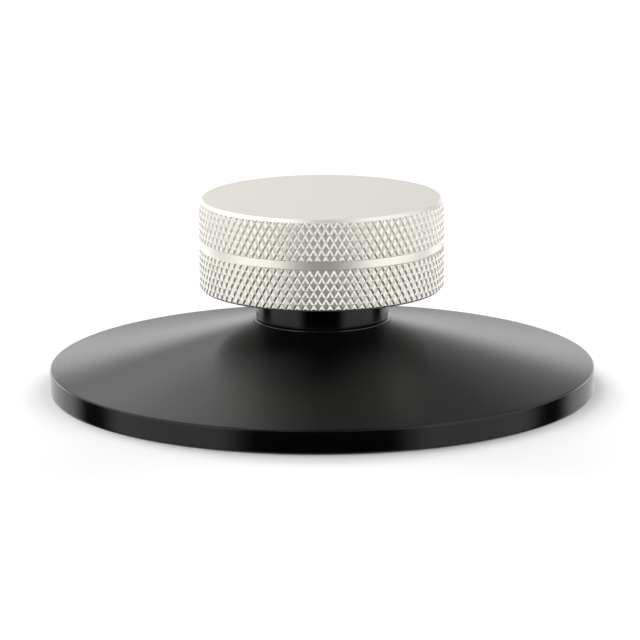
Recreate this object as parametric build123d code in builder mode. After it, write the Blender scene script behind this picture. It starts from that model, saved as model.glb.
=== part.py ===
"""Record clamp: a turned disc that a draw-in collet under a knurled knob locks to a turntable spindle.

Millimetres, +Z up. The origin is the centre of the face that lies on the record.
The collet is modelled at its gripping size and stands at its lower stop, with the knob backed off.
"""
import os
from math import ceil, cos, pi, radians, sin, tan

from build123d import *

# Disc: plain rim and cone, turned in one piece, with a flat hub face for the washer
disc_radius = 50.0
rim_height = 4.3
rim_edge_fillet = 0.5
rim_foot_chamfer = 0.2
cone_rise = 8.5
hub_radius = 12.8
hub_edge_chamfer = 0.1
contact_ring_width = 8.0
relief_depth = 0.5

# Collet: slotted tapered head, thin stem and threaded shank
bore_radius = 3.6
bore_mouth_chamfer = 0.6
stem_wall = 0.9
stem_length = 3.0
thread_depth = 0.5
thread_length = 8.0
thread_chamfer = 0.4
taper_angle = 15.0
taper_foot_radius = 7.6
taper_length = 4.5
flange_thickness = 1.5
slot_width = 1.0
slot_eye_radius = 0.8
slot_eye_drop = 1.2
slot_turns = (45.0, 135.0)
record_gap = 0.5
draw = 1.5

# Key pin that keeps the collet from turning with the knob
key_pin_radius = 1.0
key_pin_length = 6.0
key_pin_chamfer = 0.2
key_depth = 3.2
key_wall = 0.7
key_rim = 0.8

# Neck: the nut of the collet, with a sleeve in the hub and a spigot in the knob
neck_radius = 12.15
neck_height = 5.7
neck_edge_chamfer = 0.15
neck_shoulder = 2.15
spigot_height = 7.5
spigot_chamfer = 0.5
sleeve_wall = 3.95
sleeve_rise = 1.65

# Thrust washer under the neck and wire ring that holds the sleeve in the hub
washer_thickness = 0.3
washer_setback = 0.15
washer_hole_gap = 0.2
ring_wire_radius = 0.5
ring_opening = 20.0
mouth_chamfer = 0.4

# Knob: two bands of diamond knurling with a plain groove between them
knob_radius = 22.4
knob_height = 16.6
knob_top_chamfer = 0.65
knob_foot_chamfer = 0.45
knurl_count = 96
knurl_helix = 30.0
knurl_depth = 0.3
groove_foot = 7.45
groove_width = 1.8
groove_depth = 0.4
recess_end_gap = 0.5

# Clearances between mating pieces
thrust_gap = 0.05
running_gap = 0.05
thread_gap = 0.05
seat_gap = 0.1
end_gap = 0.3
side_gap = 0.6
key_gap = 0.05
fixed_gap = 0.01
bond_gap = 0.03
ring_fit = 0.02
ring_play = 0.15

# Heights of the outer pieces
hub_top = rim_height + cone_rise
washer_top = hub_top + washer_thickness
neck_foot = washer_top + thrust_gap
knob_foot = neck_foot + neck_height
knob_top = knob_foot + knob_height
spigot_top = knob_foot + spigot_height

# Heights of the collet at its lower stop, and of its head when fully drawn in
flange_top = record_gap + flange_thickness
taper_top = flange_top + taper_length
stem_top = taper_top + stem_length
collet_top = stem_top + thread_length
drawn_flange_top = flange_top + draw
drawn_taper_top = taper_top + draw
flange_pocket_top = drawn_flange_top + end_gap
sleeve_foot = drawn_taper_top + sleeve_rise
sleeve_pocket_floor = sleeve_foot - end_gap
ring_height = (sleeve_foot + hub_top) / 2
slot_eye = stem_top - slot_eye_drop

# Radii that follow from the bore and the taper
stem_radius = bore_radius + stem_wall
thread_radius = stem_radius + thread_depth
taper_top_radius = taper_foot_radius - taper_length * tan(radians(taper_angle))
seat_offset = seat_gap / cos(radians(taper_angle))
key_pitch_radius = taper_foot_radius + seat_offset + key_wall + key_pin_radius
flange_radius = key_pitch_radius + key_rim
flange_pocket_radius = key_pitch_radius + key_pin_radius + side_gap
nut_bore_radius = thread_radius + thread_gap
sleeve_radius = thread_radius + sleeve_wall
sleeve_pocket_radius = sleeve_radius + running_gap
spigot_radius = neck_radius - neck_shoulder
ring_reach = ring_wire_radius + ring_fit


def upright_plane(turn):
    """Upright plane through the axis, with its X axis turned by an angle from +X."""
    across = Vector(cos(radians(turn)), sin(radians(turn)), 0)
    return Plane(origin=(0, 0, 0), x_dir=across, z_dir=across.cross(Vector(0, 0, 1)))


# Clamp disc
with BuildPart() as clamp_disc:
    with BuildSketch(Plane.XZ):
        with BuildLine():
            Polyline(
                (0, 0),
                (disc_radius, 0),
                (disc_radius, rim_height),
                (hub_radius, hub_top),
                (0, hub_top),
                close=True,
            )
        make_face()
        fillet(vertices().sort_by_distance((disc_radius, rim_height))[0], rim_edge_fillet)
        chamfer(vertices().sort_by_distance((disc_radius, 0))[0], rim_foot_chamfer)
        chamfer(vertices().sort_by_distance((hub_radius, hub_top))[0], hub_edge_chamfer)
    revolve(axis=Axis.Z)
    # Relief that leaves a contact ring, and the pocket for the flange of the collet
    with BuildSketch(Plane.XY):
        Circle(disc_radius - contact_ring_width)
    extrude(amount=relief_depth, mode=Mode.SUBTRACT)
    with BuildSketch(Plane.XY):
        Circle(flange_pocket_radius)
    extrude(amount=flange_pocket_top, mode=Mode.SUBTRACT)
    # Taper seat, parallel to the drawn-in head, and the plain bore above it
    with BuildSketch(Plane.XZ):
        with BuildLine():
            Polyline(
                (0, drawn_flange_top),
                (taper_foot_radius + seat_offset, drawn_flange_top),
                (taper_top_radius + seat_offset, drawn_taper_top),
                (taper_top_radius + seat_offset, sleeve_foot),
                (0, sleeve_foot),
                close=True,
            )
        make_face()
    revolve(axis=Axis.Z, mode=Mode.SUBTRACT)
    # Sleeve pocket with its lead-in and the groove of the wire ring
    with BuildSketch(Plane.XZ):
        with BuildLine():
            Polyline(
                (0, sleeve_pocket_floor),
                (sleeve_pocket_radius, sleeve_pocket_floor),
                (sleeve_pocket_radius, hub_top - mouth_chamfer),
                (sleeve_pocket_radius + mouth_chamfer, hub_top),
                (0, hub_top),
                close=True,
            )
        make_face()
        with Locations((0, ring_height)):
            Rectangle(sleeve_pocket_radius + ring_reach, 2 * ring_reach, align=(Align.MIN, Align.CENTER))
    revolve(axis=Axis.Z, mode=Mode.SUBTRACT)
    # Hole for the key pin
    with BuildSketch(Plane.XY.offset(flange_pocket_top)):
        with Locations((0, key_pitch_radius)):
            Circle(key_pin_radius + fixed_gap)
    extrude(amount=key_depth, mode=Mode.SUBTRACT)

# Thrust washer
with BuildPart() as thrust_washer:
    with BuildSketch(Plane.XY.offset(hub_top)):
        Circle(hub_radius - washer_setback)
        Circle(sleeve_pocket_radius + mouth_chamfer + washer_hole_gap, mode=Mode.SUBTRACT)
    extrude(amount=washer_thickness)

# Key pin
with BuildPart() as key_pin:
    with BuildSketch(Plane.XY.offset(flange_pocket_top + key_depth)):
        with Locations((0, key_pitch_radius)):
            Circle(key_pin_radius)
    extrude(amount=-key_pin_length)
    chamfer(edges().filter_by(GeomType.CIRCLE), key_pin_chamfer)

# Retaining ring, a wire ring with its opening over the key pin
with BuildPart() as retaining_ring:
    with BuildSketch(upright_plane(90 + ring_opening / 2)):
        with Locations((sleeve_pocket_radius, ring_height)):
            Circle(ring_wire_radius)
    revolve(axis=Axis.Z, revolution_arc=360 - ring_opening)

# Collet
with BuildPart() as collet:
    with BuildSketch(Plane.XZ):
        with BuildLine():
            Polyline(
                (bore_radius, record_gap),
                (flange_radius, record_gap),
                (flange_radius, flange_top),
                (taper_foot_radius, flange_top),
                (taper_top_radius, taper_top),
                (stem_radius, taper_top),
                (stem_radius, stem_top),
                (thread_radius, stem_top),
                (thread_radius, collet_top),
                (bore_radius, collet_top),
                close=True,
            )
        make_face()
        chamfer(vertices().sort_by_distance((bore_radius, record_gap))[0], bore_mouth_chamfer)
        chamfer(vertices().sort_by_distance((thread_radius, stem_top))[0], thread_chamfer)
        chamfer(vertices().sort_by_distance((thread_radius, collet_top))[0], thread_chamfer)
    revolve(axis=Axis.Z)
    # Saw slots across the head, each ending in a round eye in the stem
    for turn in slot_turns:
        with BuildSketch(upright_plane(turn)):
            Rectangle(slot_width, slot_eye, align=(Align.CENTER, Align.MIN))
            with Locations((0, slot_eye)):
                Circle(slot_eye_radius)
        extrude(amount=flange_radius, both=True, mode=Mode.SUBTRACT)
    # Keyway in the flange
    with BuildSketch(Plane.XY.offset(record_gap)):
        with Locations((0, key_pitch_radius)):
            Circle(key_pin_radius + key_gap)
            Rectangle(2 * (key_pin_radius + key_gap), 2 * key_rim, align=(Align.CENTER, Align.MIN))
    extrude(amount=flange_thickness, mode=Mode.SUBTRACT)

# Collet nut: sleeve, visible neck and spigot
with BuildPart() as collet_nut:
    with BuildSketch(Plane.XZ):
        with BuildLine():
            Polyline(
                (nut_bore_radius, sleeve_foot),
                (sleeve_radius, sleeve_foot),
                (sleeve_radius, neck_foot),
                (neck_radius, neck_foot),
                (neck_radius, knob_foot),
                (spigot_radius, knob_foot),
                (spigot_radius, spigot_top),
                (nut_bore_radius, spigot_top),
                close=True,
            )
        make_face()
        chamfer(vertices().sort_by_distance((neck_radius, neck_foot))[0], neck_edge_chamfer)
        chamfer(vertices().sort_by_distance((spigot_radius, spigot_top))[0], spigot_chamfer)
        # Groove deep enough for the wire ring to close into it on assembly
        with Locations((sleeve_radius, ring_height)):
            Rectangle(
                2 * ring_reach,
                2 * (ring_wire_radius + ring_play),
                align=(Align.MAX, Align.CENTER),
                mode=Mode.SUBTRACT,
            )
    revolve(axis=Axis.Z)

# Knob skin: the knurl is flat facets between crests and groove crossings, on a lattice of half pitches
knurl_columns = 2 * knurl_count
knurl_rise = pi * knob_radius / knurl_count / tan(radians(knurl_helix))
knurl_rows = ceil(knob_height / knurl_rise)
knurl_root_radius = knob_radius - knurl_depth
top_edge_radius = knob_radius - knob_top_chamfer
foot_edge_radius = knob_radius - knob_foot_chamfer
groove_low = Plane(origin=(0, 0, knob_foot + groove_foot), z_dir=(0, 0, 1))
groove_high = Plane(origin=(0, 0, knob_foot + groove_foot + groove_width), z_dir=(0, 0, -1))
up = Vector(0, 0, 1)
same_point = 1e-6


def on_ring(radius, column, height):
    """Point on a circle about the axis, its angle counted in half pitches of the knurl."""
    angle = pi * column / knurl_count
    return Vector(radius * cos(angle), radius * sin(angle), height)


def lattice_point(column, row):
    """Crest of a diamond where column and row are both even or both odd, else a crossing of grooves."""
    radius = knurl_root_radius if (column + row) % 2 else knob_radius
    return on_ring(radius, column, knob_foot + row * knurl_rise)


def height_over(point, plane):
    """Distance of a point in front of a plane."""
    return (point - plane.origin).dot(plane.z_dir)


def trim(points, plane):
    """Part of a flat polygon that lies behind a plane."""
    kept = []
    for start, end in zip(points, points[1:] + points[:1]):
        near = height_over(start, plane)
        far = height_over(end, plane)
        if near <= 0:
            kept.append(start)
        if near * far < 0:
            kept.append(start + (end - start) * (near / (near - far)))
    return kept


def knurled_strip(column, low_plane, high_plane):
    """Facets of one half pitch of the knurl, trimmed at both ends."""
    facets = []
    for row in range(knurl_rows):
        left = lattice_point(column, row)
        right = lattice_point(column + 1, row)
        upper_left = lattice_point(column, row + 1)
        upper_right = lattice_point(column + 1, row + 1)
        if (column + row) % 2:
            pair = ([left, right, upper_right], [left, upper_right, upper_left])
        else:
            pair = ([left, right, upper_left], [right, upper_right, upper_left])
        for corners in pair:
            facet = trim(trim(corners, low_plane), high_plane)
            if len(facet) > 2:
                facets.append(facet)
    return facets


def trimmed_edge(facets, plane, along):
    """Corners of a strip's facets that lie on a plane, in order along a direction, each of them once."""
    found = [point for facet in facets for point in facet if abs(height_over(point, plane)) < same_point]
    found.sort(key=lambda point: point.dot(along))
    return found[:1] + [point for last, point in zip(found, found[1:]) if (point - last).length > same_point]


def flat_face(corners, holes=()):
    """Flat face round a ring of corners."""
    return Face(Wire.make_polygon(corners, close=True), holes)


def knob_skin():
    """Closed skin of the knob: two knurled bands, their chamfers, the end faces and the plain groove."""
    faces = []
    low_ledge = []
    high_ledge = []
    for column in range(knurl_columns):
        outward = on_ring(1, column + 0.5, 0)
        along = up.cross(outward)
        foot_edge = [on_ring(foot_edge_radius, column + side, knob_foot) for side in (1, 0)]
        top_edge = [on_ring(top_edge_radius, column + side, knob_top) for side in (1, 0)]
        foot_plane = Plane(origin=foot_edge[0], z_dir=outward - up)
        top_plane = Plane(origin=top_edge[0], z_dir=outward + up)
        lower_band = knurled_strip(column, foot_plane, groove_low)
        upper_band = knurled_strip(column, groove_high, top_plane)
        faces += [flat_face(facet) for facet in lower_band + upper_band]
        faces.append(flat_face(trimmed_edge(lower_band, foot_plane, along) + foot_edge))
        faces.append(flat_face(trimmed_edge(upper_band, top_plane, along) + top_edge))
        low_ledge += trimmed_edge(lower_band, groove_low, along)[:-1]
        high_ledge += trimmed_edge(upper_band, groove_high, along)[:-1]
    groove_ring = Edge.make_circle(knob_radius - groove_depth, groove_low)
    faces.append(Face.extrude(groove_ring, up * groove_width))
    faces.append(flat_face(low_ledge, [Wire(groove_ring)]))
    faces.append(flat_face(high_ledge, [Wire(groove_ring.moved(Location((0, 0, groove_width))))]))
    faces.append(flat_face([on_ring(foot_edge_radius, column, knob_foot) for column in range(knurl_columns)]))
    faces.append(flat_face([on_ring(top_edge_radius, column, knob_top) for column in range(knurl_columns)]))
    return Solid(Shell(faces))


# Knob, with the recess that holds the spigot of the nut
with BuildPart() as knob:
    add(knob_skin())
    with BuildSketch(Plane.XY.offset(knob_foot)):
        Circle(spigot_radius + bond_gap)
    extrude(amount=spigot_height + recess_end_gap, mode=Mode.SUBTRACT)

os.makedirs("parts", exist_ok=True)
pieces = {
    "clamp_disc": clamp_disc,
    "thrust_washer": thrust_washer,
    "key_pin": key_pin,
    "retaining_ring": retaining_ring,
    "collet": collet,
    "collet_nut": collet_nut,
    "knob": knob,
}
for name, piece in pieces.items():
    piece.part.label = name
    export_step(piece.part, f"parts/{name}.step")
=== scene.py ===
"""Looks of a record clamp: a black turned disc, a black neck and a knurled satin knob.

It stands on a white studio floor. Blender works in metres. The sizes named below are in
millimetres and the angles in degrees, in the frame of the CAD part.
"""
from math import cos, hypot, pi, radians, sin, tan

import bpy
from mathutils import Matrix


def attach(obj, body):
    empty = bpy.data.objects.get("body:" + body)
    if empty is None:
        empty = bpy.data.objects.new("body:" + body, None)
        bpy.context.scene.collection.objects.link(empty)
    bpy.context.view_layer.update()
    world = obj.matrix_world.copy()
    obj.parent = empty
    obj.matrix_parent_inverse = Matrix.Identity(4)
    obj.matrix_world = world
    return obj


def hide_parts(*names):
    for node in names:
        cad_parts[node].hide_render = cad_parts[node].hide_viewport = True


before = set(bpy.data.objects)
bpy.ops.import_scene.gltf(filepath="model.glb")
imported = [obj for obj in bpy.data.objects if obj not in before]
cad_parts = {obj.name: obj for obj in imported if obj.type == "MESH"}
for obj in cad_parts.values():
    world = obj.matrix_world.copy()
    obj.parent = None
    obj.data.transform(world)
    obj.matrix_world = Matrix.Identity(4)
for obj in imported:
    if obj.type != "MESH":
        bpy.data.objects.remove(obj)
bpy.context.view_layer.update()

MM = 0.001
same_place = 0.002
merge_distance = 0.0001

# Disc
disc_radius = 50.0
rim_height = 4.3
rim_edge_width = 0.25
rim_foot_width = 0.2
hub_radius = 12.8
hub_top = 12.8
hub_edge_width = 0.1
contact_ring_radius = 42.0
relief_height = 0.5
relief_edge_width = 0.3
flange_pocket_radius = 11.01
flange_pocket_top = 3.8
seat_foot_radius = 7.623
seat_top_radius = 6.498
seat_top = 8.0
sleeve_pocket_radius = 9.0
sleeve_pocket_floor = 9.35
mouth_width = 0.4
ring_groove_radius = 9.52
ring_groove_low = 10.705
ring_groove_high = 11.745
disc_steps = 256
disc_sharp_angle = 25

# Thrust washer
washer_radius = 12.65
washer_hole_radius = 9.6
washer_top = 13.1
washer_edge_width = 0.08
washer_sharp_angle = 50

# Neck: sleeve, visible barrel and spigot of the nut
nut_bore_radius = 5.05
sleeve_radius = 8.95
sleeve_foot = 9.65
nut_groove_radius = 7.91
nut_groove_low = 10.575
nut_groove_high = 11.875
neck_foot = 13.15
neck_radius = 12.15
neck_edge_width = 0.15
knob_foot = 18.85
spigot_radius = 10.0
spigot_top = 26.35
spigot_edge_width = 0.5
neck_steps = 192
neck_sharp_angle = 35

# Knob
knob_radius = 22.4
knob_top = 35.45
knob_top_chamfer = 0.65
knob_foot_chamfer = 0.45
knurl_count = 96
knurl_helix = 30.0
knurl_rows = 8
knurl_depth = 0.19
diamond_flank = 0.30
groove_low = 26.3
groove_high = 28.1
groove_radius = 22.0
groove_flank = 0.2
recess_radius = 10.03
recess_top = 26.85
outside_radius = 23.6
knob_steps = 192
knob_sharp_angle = 20

# Softened edges: the facets across them, and the plain strip that keeps the shading of the
# large face next to one even
rim_facets = 6
lip_facets = 3
small_facets = 2
chamfer_facets = 1
edge_guard = 0.3

# Marks that turning leaves on every finish
patches_per_metre = 60.0
mark_height = 0.02
ring_detail = 2.0
patch_detail = 3.0

# Gloss of the cone, stretched across its rings
ring_stretch = 0.95
across_rings = 0.25

# Finishes: the darker and the lighter shade, the roughness from the finest to the coarsest
# ring, how far patches move it, rings per metre, strength of their relief, and what is the
# same all over
finish_looks = {
    "black_acetal": dict(
        shades=((0.0006, 0.0006, 0.0007), (0.0012, 0.0012, 0.0013)),
        rough=(0.28, 0.34),
        patchy=0.02,
        rings=3500,
        relief=0.15,
        plain={"IOR": 1.4},
    ),
    "polished_acetal": dict(
        shades=((0.0006, 0.0006, 0.0006), (0.0012, 0.0012, 0.0012)),
        rough=(0.11, 0.15),
        patchy=0.01,
        rings=6000,
        relief=0.05,
        plain={"IOR": 1.45},
    ),
    "washer_nylon": dict(
        shades=((0.0008, 0.0008, 0.0008), (0.0014, 0.0014, 0.0014)),
        rough=(0.16, 0.22),
        patchy=0.02,
        rings=6000,
        relief=0.1,
        plain={"IOR": 1.53},
    ),
    "satin_aluminium": dict(
        shades=((0.80, 0.78, 0.72), (0.82, 0.80, 0.74)),
        rough=(0.40, 0.46),
        patchy=0.03,
        rings=9000,
        relief=0.06,
        plain={"Metallic": 1.0},
    ),
    "brass": dict(
        shades=((0.62, 0.42, 0.16), (0.72, 0.51, 0.22)),
        rough=(0.22, 0.32),
        patchy=0.05,
        rings=5000,
        relief=0.2,
        plain={"Metallic": 1.0},
    ),
    "steel": dict(
        shades=((0.50, 0.50, 0.51), (0.60, 0.60, 0.61)),
        rough=(0.18, 0.28),
        patchy=0.04,
        rings=8000,
        relief=0.1,
        plain={"Metallic": 1.0},
    ),
}

# Sockets of a colour mix, by number because other kinds of mix share their names
mix_dark_socket = 6
mix_light_socket = 7
mix_colour_socket = 2

# Floor and backdrop
white = (1, 1, 1, 1)
floor_shade = (0.85, 0.85, 0.85, 1)
floor_size = 8000
floor_drop = 0.05
floor_lift = 0.04
backdrop_level = 1.0

# Soft lights round the clamp: azimuth from the camera's side, with right as positive, height
# of the middle, half the width, half the height and the soft edge, and the brightness
studio_lights = {
    "left_wall": (-88, 2, 54, 4, 10, 2.2),
    "right_wall": (88, 2, 54, 4, 10, 2.2),
    "front_left_fill": (-32, 14, 18, 3, 12, 1.4),
    "front_right_fill": (32, 14, 18, 3, 12, 1.1),
    "front_fill": (0, 18, 14, 4, 12, 0.9),
    "back_wall": (180, 5, 45, 6, 10, 1.4),
    "back_wall_upper": (180, 26, 30, 4, 10, 0.5),
    "left_overhead": (-125, 46, 38, 10, 18, 2.1),
    "right_overhead": (98, 46, 36, 10, 18, 1.2),
    "top_left": (-85, 70, 50, 6, 12, 2.0),
    "top_right": (90, 70, 50, 6, 12, 1.2),
    "low_left": (-68, -14, 22, 5, 18, 0.8),
    "low_right": (68, -14, 22, 5, 18, 0.8),
    "low_back": (180, -12, 48, 6, 16, 0.9),
    "floor_glow": (0, -60, 180, 20, 15, 1.2),
}

# Softboxes behind the clamp, which light the floor and stay out of the gloss
softbox_azimuths = {"softbox_back_left": -145, "softbox_back_right": 145}
softbox_elevation = 26
softbox_distance = 2000
softbox_width = 1200
softbox_height = 600
softbox_power = 16.0

# Camera
camera_distance = 679.0
camera_elevation = 12.80
camera_roll = -0.0057  # radians
camera_aim = (-0.365, 0.0, 12.36)
camera_sensor = 36.0
camera_lens = 207.8
camera_near = 10
camera_far = 50000


def near(measure, wanted):
    """Whether two measures are at the same place."""
    return abs(measure - wanted) < same_place


def pick(piece):
    """Selects one piece alone and makes it the active one."""
    bpy.ops.object.select_all(action="DESELECT")
    piece.select_set(True)
    bpy.context.view_layer.objects.active = piece


def begin_edit(piece, mode):
    """Opens a piece in edit mode with nothing selected."""
    bpy.ops.object.mode_set(mode="OBJECT")
    pick(piece)
    bpy.ops.object.mode_set(mode="EDIT")
    bpy.ops.mesh.select_mode(type=mode)
    bpy.ops.mesh.select_all(action="DESELECT")


def begin_new(name):
    """Names the primitive just added, and opens it in edit mode with all its points selected."""
    piece = bpy.context.object
    piece.name = name
    piece.data.name = name
    bpy.ops.object.mode_set(mode="EDIT")
    bpy.ops.mesh.select_mode(type="VERT")
    bpy.ops.mesh.select_all(action="SELECT")
    return piece


def select_edges(piece, wanted):
    """Selects the edges whose ends both pass a test of radius and height, in edit mode."""
    begin_edit(piece, "EDGE")
    bpy.ops.object.mode_set(mode="OBJECT")
    mesh = piece.data
    passed = [wanted(hypot(v.co.x, v.co.y) / MM, v.co.z / MM) for v in mesh.vertices]
    for edge in mesh.edges:
        edge.select = all(passed[end] for end in edge.vertices)
    bpy.ops.object.mode_set(mode="EDIT")


def close_edit():
    """Merges doubles, turns the faces outwards and leaves edit mode."""
    bpy.ops.mesh.select_mode(type="VERT")
    bpy.ops.mesh.select_all(action="SELECT")
    bpy.ops.mesh.remove_doubles(threshold=merge_distance * MM)
    bpy.ops.mesh.normals_make_consistent(inside=False)
    bpy.ops.object.mode_set(mode="OBJECT")


def turned(name, outline, steps):
    """Lathe piece: a point is drawn along an outline of radii and heights, and the line spun."""
    bpy.ops.object.select_all(action="DESELECT")
    bpy.ops.mesh.primitive_plane_add(size=MM)
    piece = begin_new(name)
    bpy.ops.mesh.merge(type="CENTER")
    bpy.ops.transform.translate(value=(outline[0][0] * MM, 0, outline[0][1] * MM))
    for here, there in zip(outline, outline[1:]):
        step = ((there[0] - here[0]) * MM, 0, (there[1] - here[1]) * MM)
        bpy.ops.mesh.extrude_vertices_move(TRANSFORM_OT_translate={"value": step})
    bpy.ops.mesh.select_all(action="SELECT")
    bpy.ops.mesh.spin(steps=steps, angle=2 * pi, center=(0, 0, 0), axis=(0, 0, 1))
    close_edit()
    return piece


def soften_ring(piece, ring_radius, ring_height, width, facets):
    """Bevels the ring of edges at one radius and height."""

    def on_ring(radius, height):
        return near(radius, ring_radius) and near(height, ring_height)

    select_edges(piece, on_ring)
    bpy.ops.mesh.bevel(
        offset=width * MM, offset_type="OFFSET", segments=facets, profile=0.5, affect="EDGES"
    )
    close_edit()


def smooth(piece, sharp_angle):
    """Smooth shading, with the edges over an angle left sharp."""
    pick(piece)
    bpy.ops.object.shade_smooth_by_angle(angle=radians(sharp_angle))


def make_disc():
    """Disc with its rim and cone, its relief below and its seats inside."""
    cone_fall = (hub_top - rim_height) / (disc_radius - hub_radius)
    rim_guard = rim_edge_width + edge_guard
    disc = turned(
        "disc_turned",
        [
            (disc_radius, 0),
            (disc_radius, rim_foot_width + edge_guard),
            (disc_radius, rim_height - rim_guard),
            (disc_radius, rim_height),
            (disc_radius - rim_guard, rim_height + rim_guard * cone_fall),
            (hub_radius + edge_guard, hub_top - edge_guard * cone_fall),
            (hub_radius, hub_top),
            (sleeve_pocket_radius + mouth_width, hub_top),
            (sleeve_pocket_radius, hub_top - mouth_width),
            (sleeve_pocket_radius, ring_groove_high),
            (ring_groove_radius, ring_groove_high),
            (ring_groove_radius, ring_groove_low),
            (sleeve_pocket_radius, ring_groove_low),
            (sleeve_pocket_radius, sleeve_pocket_floor),
            (seat_top_radius, sleeve_pocket_floor),
            (seat_top_radius, seat_top),
            (seat_foot_radius, flange_pocket_top),
            (flange_pocket_radius, flange_pocket_top),
            (flange_pocket_radius, relief_height),
            (contact_ring_radius, relief_height),
            (contact_ring_radius, 0),
            (disc_radius, 0),
        ],
        disc_steps,
    )
    soften_ring(disc, disc_radius, rim_height, rim_edge_width, rim_facets)
    soften_ring(disc, disc_radius, 0, rim_foot_width, small_facets)
    soften_ring(disc, hub_radius, hub_top, hub_edge_width, small_facets)
    soften_ring(disc, contact_ring_radius, 0, relief_edge_width, small_facets)
    smooth(disc, disc_sharp_angle)
    return disc


def polish_rim(disc, finish):
    """Gives the upright wall of the rim a finish of its own."""
    disc.data.materials.append(finish)
    select_edges(disc, lambda radius, height: radius > disc_radius - same_place)
    bpy.ops.mesh.select_mode(type="FACE")
    disc.active_material_index = len(disc.data.materials) - 1
    bpy.ops.object.material_slot_assign()
    bpy.ops.object.mode_set(mode="OBJECT")


def make_washer():
    """Thin washer that shows as a lip under the neck."""
    washer = turned(
        "washer_turned",
        [
            (washer_hole_radius, hub_top),
            (washer_radius, hub_top),
            (washer_radius, washer_top),
            (washer_hole_radius, washer_top),
            (washer_hole_radius, hub_top),
        ],
        neck_steps,
    )
    for height in (hub_top, washer_top):
        soften_ring(washer, washer_radius, height, washer_edge_width, lip_facets)
    smooth(washer, washer_sharp_angle)
    return washer


def make_neck():
    """Nut of the collet: sleeve with its ring groove, barrel and spigot."""
    neck = turned(
        "neck_turned",
        [
            (nut_bore_radius, sleeve_foot),
            (sleeve_radius, sleeve_foot),
            (sleeve_radius, nut_groove_low),
            (nut_groove_radius, nut_groove_low),
            (nut_groove_radius, nut_groove_high),
            (sleeve_radius, nut_groove_high),
            (sleeve_radius, neck_foot),
            (neck_radius, neck_foot),
            (neck_radius, neck_foot + neck_edge_width + edge_guard),
            (neck_radius, knob_foot),
            (spigot_radius, knob_foot),
            (spigot_radius, spigot_top),
            (nut_bore_radius, spigot_top),
            (nut_bore_radius, sleeve_foot),
        ],
        neck_steps,
    )
    soften_ring(neck, neck_radius, neck_foot, neck_edge_width, lip_facets)
    soften_ring(neck, spigot_radius, spigot_top, spigot_edge_width, chamfer_facets)
    smooth(neck, neck_sharp_angle)
    return neck


def make_knurl_blank():
    """Tube of raised flat-topped diamonds, longer than the knob, with both ends closed."""
    rise = pi * knob_radius / knurl_count / tan(radians(knurl_helix))
    root = knob_radius - knurl_depth
    foot = knob_foot - rise
    top = foot + 2 * rise * knurl_rows
    bpy.ops.object.select_all(action="DESELECT")
    bpy.ops.mesh.primitive_circle_add(
        vertices=knurl_count, radius=root * MM, fill_type="NOTHING"
    )
    blank = begin_new("knob_knurled")
    bpy.ops.transform.translate(value=(0, 0, foot * MM))
    row_step = (0, 0, 2 * rise * MM)
    for row in range(knurl_rows):
        bpy.ops.mesh.extrude_region_move(TRANSFORM_OT_translate={"value": row_step})
    bpy.ops.mesh.select_all(action="SELECT")
    bpy.ops.mesh.normals_make_consistent(inside=False)
    # A point in the middle of every panel, then the panels' own sides go, which leaves diamonds
    bpy.ops.mesh.poke(offset=root * (1 - cos(pi / knurl_count)) * MM)

    def on_panel_corner(radius, height):
        step = round((height - foot) / rise)
        return step % 2 == 0

    select_edges(blank, on_panel_corner)
    bpy.ops.object.mode_set(mode="OBJECT")
    mesh = blank.data
    for edge in mesh.edges:
        heights = [mesh.vertices[end].co.z / MM for end in edge.vertices]
        if all(near(height, foot) or near(height, top) for height in heights):
            edge.select = False
    bpy.ops.object.mode_set(mode="EDIT")
    bpy.ops.mesh.dissolve_edges(use_verts=False)
    # Each diamond is raised to a small flat top between four flanks
    bpy.ops.mesh.select_mode(type="FACE")
    bpy.ops.mesh.select_all(action="DESELECT")
    bpy.ops.mesh.select_face_by_sides(number=4, type="EQUAL")
    bpy.ops.mesh.inset(
        thickness=diamond_flank * MM, depth=knurl_depth * MM, use_individual=True
    )
    for end_height in (foot, top):
        select_edges(blank, lambda radius, height: near(height, end_height))
        bpy.ops.mesh.edge_face_add()
    close_edit()
    return blank


def make_knob():
    """Knurled knob: the blank cut to the turned form with its chamfers, groove and recess."""
    knob = make_knurl_blank()
    flare = outside_radius - knob_radius
    flank_flare = groove_flank * flare / (knob_radius - groove_radius)
    form = turned(
        "knob_form",
        [
            (0, recess_top),
            (recess_radius, recess_top),
            (recess_radius, knob_foot),
            (knob_radius - knob_foot_chamfer, knob_foot),
            (outside_radius, knob_foot + knob_foot_chamfer + flare),
            (outside_radius, groove_low - flank_flare),
            (groove_radius, groove_low + groove_flank),
            (groove_radius, groove_high - groove_flank),
            (outside_radius, groove_high + flank_flare),
            (outside_radius, knob_top - knob_top_chamfer - flare),
            (knob_radius - knob_top_chamfer, knob_top),
            (0, knob_top),
        ],
        knob_steps,
    )
    pick(knob)
    cut = knob.modifiers.new("cut_to_form", "BOOLEAN")
    cut.operation = "INTERSECT"
    cut.solver = "EXACT"
    cut.object = form
    bpy.ops.object.modifier_apply(modifier=cut.name)
    bpy.data.objects.remove(form)
    begin_edit(knob, "VERT")
    close_edit()
    smooth(knob, knob_sharp_angle)
    return knob


def add_node(tree, kind, **settings):
    """New node with some of its own settings."""
    made = tree.nodes.new(kind)
    for key, value in settings.items():
        setattr(made, key, value)
    return made


def math_node(tree, operation, *values):
    """Math node on one to three sockets or numbers."""
    made = add_node(tree, "ShaderNodeMath", operation=operation)
    for socket, value in zip(made.inputs, values):
        if isinstance(value, (int, float)):
            socket.default_value = value
        else:
            tree.links.new(value, socket)
    return made.outputs[0]


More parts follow.
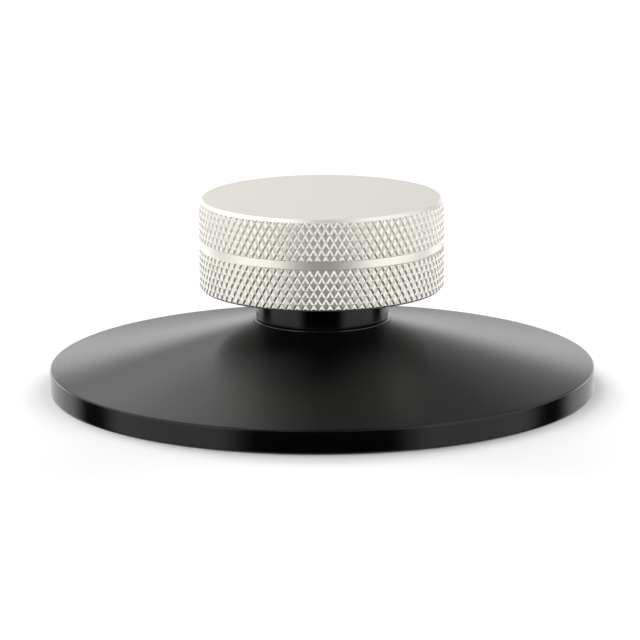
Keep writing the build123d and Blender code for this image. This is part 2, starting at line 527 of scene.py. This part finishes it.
def make_lathe_marks():
    """Shared effect: fine rings left by a lathe tool, and broad uneven patches of handling."""
    group = bpy.data.node_groups.new("lathe_marks", "ShaderNodeTree")
    for name, side in (
        ("Rings per metre", "INPUT"),
        ("Patches per metre", "INPUT"),
        ("Rings", "OUTPUT"),
        ("Patches", "OUTPUT"),
    ):
        group.interface.new_socket(name, in_out=side, socket_type="NodeSocketFloat")
    given = add_node(group, "NodeGroupInput")
    wanted = add_node(group, "NodeGroupOutput")
    place = add_node(group, "ShaderNodeTexCoord").outputs["Object"]
    split = add_node(group, "ShaderNodeSeparateXYZ")
    group.links.new(place, split.inputs[0])
    across = math_node(group, "MULTIPLY", split.outputs["X"], split.outputs["X"])
    along = math_node(group, "MULTIPLY", split.outputs["Y"], split.outputs["Y"])
    radius = math_node(group, "POWER", math_node(group, "ADD", across, along), 0.5)
    travel = math_node(group, "ADD", radius, split.outputs["Z"])
    rings = add_node(group, "ShaderNodeTexNoise", noise_dimensions="1D")
    rings.inputs["Detail"].default_value = ring_detail
    group.links.new(travel, rings.inputs["W"])
    group.links.new(given.outputs["Rings per metre"], rings.inputs["Scale"])
    group.links.new(rings.outputs[0], wanted.inputs["Rings"])
    patches = add_node(group, "ShaderNodeTexNoise", noise_dimensions="3D")
    patches.inputs["Detail"].default_value = patch_detail
    group.links.new(place, patches.inputs["Vector"])
    group.links.new(given.outputs["Patches per metre"], patches.inputs["Scale"])
    group.links.new(patches.outputs[0], wanted.inputs["Patches"])
    return group


def span(tree, value, low, high):
    """Maps a value of 0 to 1 onto a range."""
    made = add_node(tree, "ShaderNodeMapRange")
    tree.links.new(value, made.inputs["Value"])
    made.inputs["To Min"].default_value = low
    made.inputs["To Max"].default_value = high
    return made.outputs[0]


def shade_between(tree, value, dark, light):
    """Mixes two close shades of a colour."""
    made = add_node(tree, "ShaderNodeMix", data_type="RGBA")
    tree.links.new(value, made.inputs["Factor"])
    made.inputs[mix_dark_socket].default_value = (*dark, 1)
    made.inputs[mix_light_socket].default_value = (*light, 1)
    return made.outputs[mix_colour_socket]


def lathe_material(name, marks, shades, rough, patchy, rings, relief, plain):
    """Finish of a turned piece: two close shades, with rings in its roughness and relief."""
    material = bpy.data.materials.new(name)
    material.use_nodes = True
    tree = material.node_tree
    shader = tree.nodes["Principled BSDF"]
    for socket, value in plain.items():
        shader.inputs[socket].default_value = value
    effect = add_node(tree, "ShaderNodeGroup", node_tree=marks)
    effect.inputs["Rings per metre"].default_value = rings
    effect.inputs["Patches per metre"].default_value = patches_per_metre
    colour = shade_between(tree, effect.outputs["Patches"], *shades)
    tree.links.new(colour, shader.inputs["Base Color"])
    uneven = math_node(
        tree,
        "ADD",
        span(tree, effect.outputs["Rings"], *rough),
        span(tree, effect.outputs["Patches"], -patchy, patchy),
    )
    tree.links.new(uneven, shader.inputs["Roughness"])
    bump = add_node(tree, "ShaderNodeBump")
    bump.inputs["Strength"].default_value = relief
    bump.inputs["Distance"].default_value = mark_height * MM
    tree.links.new(effect.outputs["Rings"], bump.inputs["Height"])
    tree.links.new(bump.outputs[0], shader.inputs["Normal"])
    return material


def polish_rings(material):
    """Stretches the gloss across the lathe rings."""
    tree = material.node_tree
    shader = tree.nodes["Principled BSDF"]
    tangent = add_node(tree, "ShaderNodeTangent", direction_type="RADIAL", axis="Z")
    tree.links.new(tangent.outputs[0], shader.inputs["Tangent"])
    shader.inputs["Anisotropic"].default_value = ring_stretch
    shader.inputs["Anisotropic Rotation"].default_value = across_rings


def dress(piece, node, body, finish):
    """Puts a piece in its CAD node's place, on that body, with a finish."""
    piece.data.materials.append(finishes[finish])
    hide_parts(node)
    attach(piece, body)


def fade(tree, angle, middle, half, edge):
    """One within half a width of the middle angle, falling softly to nought over the edge."""
    away = math_node(tree, "WRAP", math_node(tree, "SUBTRACT", angle, radians(middle)), pi, -pi)
    made = add_node(tree, "ShaderNodeMapRange", interpolation_type="SMOOTHSTEP")
    tree.links.new(math_node(tree, "ABSOLUTE", away), made.inputs["Value"])
    made.inputs["From Min"].default_value = radians(half + edge)
    made.inputs["From Max"].default_value = radians(half)
    return made.outputs[0]


def studio_glow(tree):
    """How bright the studio's lights are in the direction of a ray."""
    split = add_node(tree, "ShaderNodeSeparateXYZ")
    tree.links.new(add_node(tree, "ShaderNodeTexCoord").outputs["Generated"], split.inputs[0])
    towards_camera = math_node(tree, "MULTIPLY", split.outputs["Y"], -1.0)
    turn = math_node(tree, "ARCTAN2", split.outputs["X"], towards_camera)
    lift = math_node(tree, "ARCSINE", split.outputs["Z"])
    glow = 0.0
    for azimuth, height, half_width, half_height, edge, level in studio_lights.values():
        sideways = fade(tree, turn, azimuth, half_width, edge)
        upward = fade(tree, lift, height, half_height, edge)
        light = math_node(tree, "MULTIPLY", math_node(tree, "MULTIPLY", sideways, upward), level)
        glow = math_node(tree, "ADD", light, glow)
    return glow


def make_floor():
    """White floor that keeps the clamp's shadow."""
    bpy.ops.object.select_all(action="DESELECT")
    bpy.ops.mesh.primitive_plane_add(size=floor_size * MM, location=(0, 0, -floor_drop * MM))
    floor = bpy.context.object
    floor.name = "studio_floor"
    material = bpy.data.materials.new("studio_floor")
    material.use_nodes = True
    tree = material.node_tree
    shader = tree.nodes["Principled BSDF"]
    shader.inputs["Base Color"].default_value = floor_shade
    shader.inputs["Roughness"].default_value = 1.0
    shader.inputs["Specular IOR Level"].default_value = 0.0
    shader.inputs["Emission Color"].default_value = white
    path = add_node(tree, "ShaderNodeLightPath")
    lift = math_node(tree, "MULTIPLY", path.outputs["Is Camera Ray"], floor_lift)
    tree.links.new(lift, shader.inputs["Emission Strength"])
    floor.visible_glossy = False
    floor.visible_shadow = False
    floor.data.materials.append(material)


def make_world():
    """White backdrop for the camera, and the studio's soft lights for everything else."""
    world = bpy.data.worlds.new("studio")
    bpy.context.scene.world = world
    world.use_nodes = True
    tree = world.node_tree
    light = tree.nodes["Background"]
    light.inputs["Color"].default_value = white
    path = add_node(tree, "ShaderNodeLightPath")
    shown = add_node(tree, "ShaderNodeMix", data_type="FLOAT")
    tree.links.new(path.outputs["Is Camera Ray"], shown.inputs["Factor"])
    tree.links.new(studio_glow(tree), shown.inputs["A"])
    shown.inputs["B"].default_value = backdrop_level
    tree.links.new(shown.outputs[0], light.inputs["Strength"])


def make_softbox(name, azimuth):
    """Area light that faces the clamp, at an azimuth from the camera's side."""
    turn = radians(azimuth)
    rise = radians(softbox_elevation)
    distance = softbox_distance * MM
    bpy.ops.object.select_all(action="DESELECT")
    bpy.ops.object.light_add(
        type="AREA",
        location=(
            distance * sin(turn) * cos(rise),
            -distance * cos(turn) * cos(rise),
            distance * sin(rise),
        ),
        rotation=(pi / 2 - rise, 0, turn),
    )
    lamp = bpy.context.object
    lamp.name = name
    lamp.data.shape = "RECTANGLE"
    lamp.data.size = softbox_width * MM
    lamp.data.size_y = softbox_height * MM
    lamp.data.energy = softbox_power
    lamp.visible_glossy = False


def make_camera():
    """Camera at the photograph's angle, with its slight roll."""
    rise = radians(camera_elevation)
    bpy.ops.object.select_all(action="DESELECT")
    bpy.ops.object.camera_add(
        location=(
            camera_aim[0] * MM,
            (camera_aim[1] - camera_distance * cos(rise)) * MM,
            (camera_aim[2] + camera_distance * sin(rise)) * MM,
        )
    )
    camera = bpy.context.object
    camera.rotation_mode = "ZYX"
    camera.rotation_euler = (pi / 2 - rise, 0, camera_roll)
    camera.data.sensor_width = camera_sensor
    camera.data.lens = camera_lens
    camera.data.clip_start = camera_near * MM
    camera.data.clip_end = camera_far * MM
    bpy.context.scene.camera = camera


lathe_marks = make_lathe_marks()
finishes = {
    name: lathe_material(name, lathe_marks, **look) for name, look in finish_looks.items()
}
polish_rings(finishes["black_acetal"])

disc = make_disc()
dress(disc, "clamp_disc", "base", "black_acetal")
polish_rim(disc, finishes["polished_acetal"])
dress(make_washer(), "thrust_washer", "base", "washer_nylon")
dress(make_neck(), "collet_nut", "knob", "polished_acetal")
dress(make_knob(), "knob", "knob", "satin_aluminium")
for node, finish in (("collet", "brass"), ("key_pin", "steel"), ("retaining_ring", "steel")):
    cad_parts[node].material_slots[0].material = finishes[finish]

make_floor()
make_world()
for name, azimuth in softbox_azimuths.items():
    make_softbox(name, azimuth)
make_camera()
bpy.context.scene.view_settings.view_transform = "Standard"
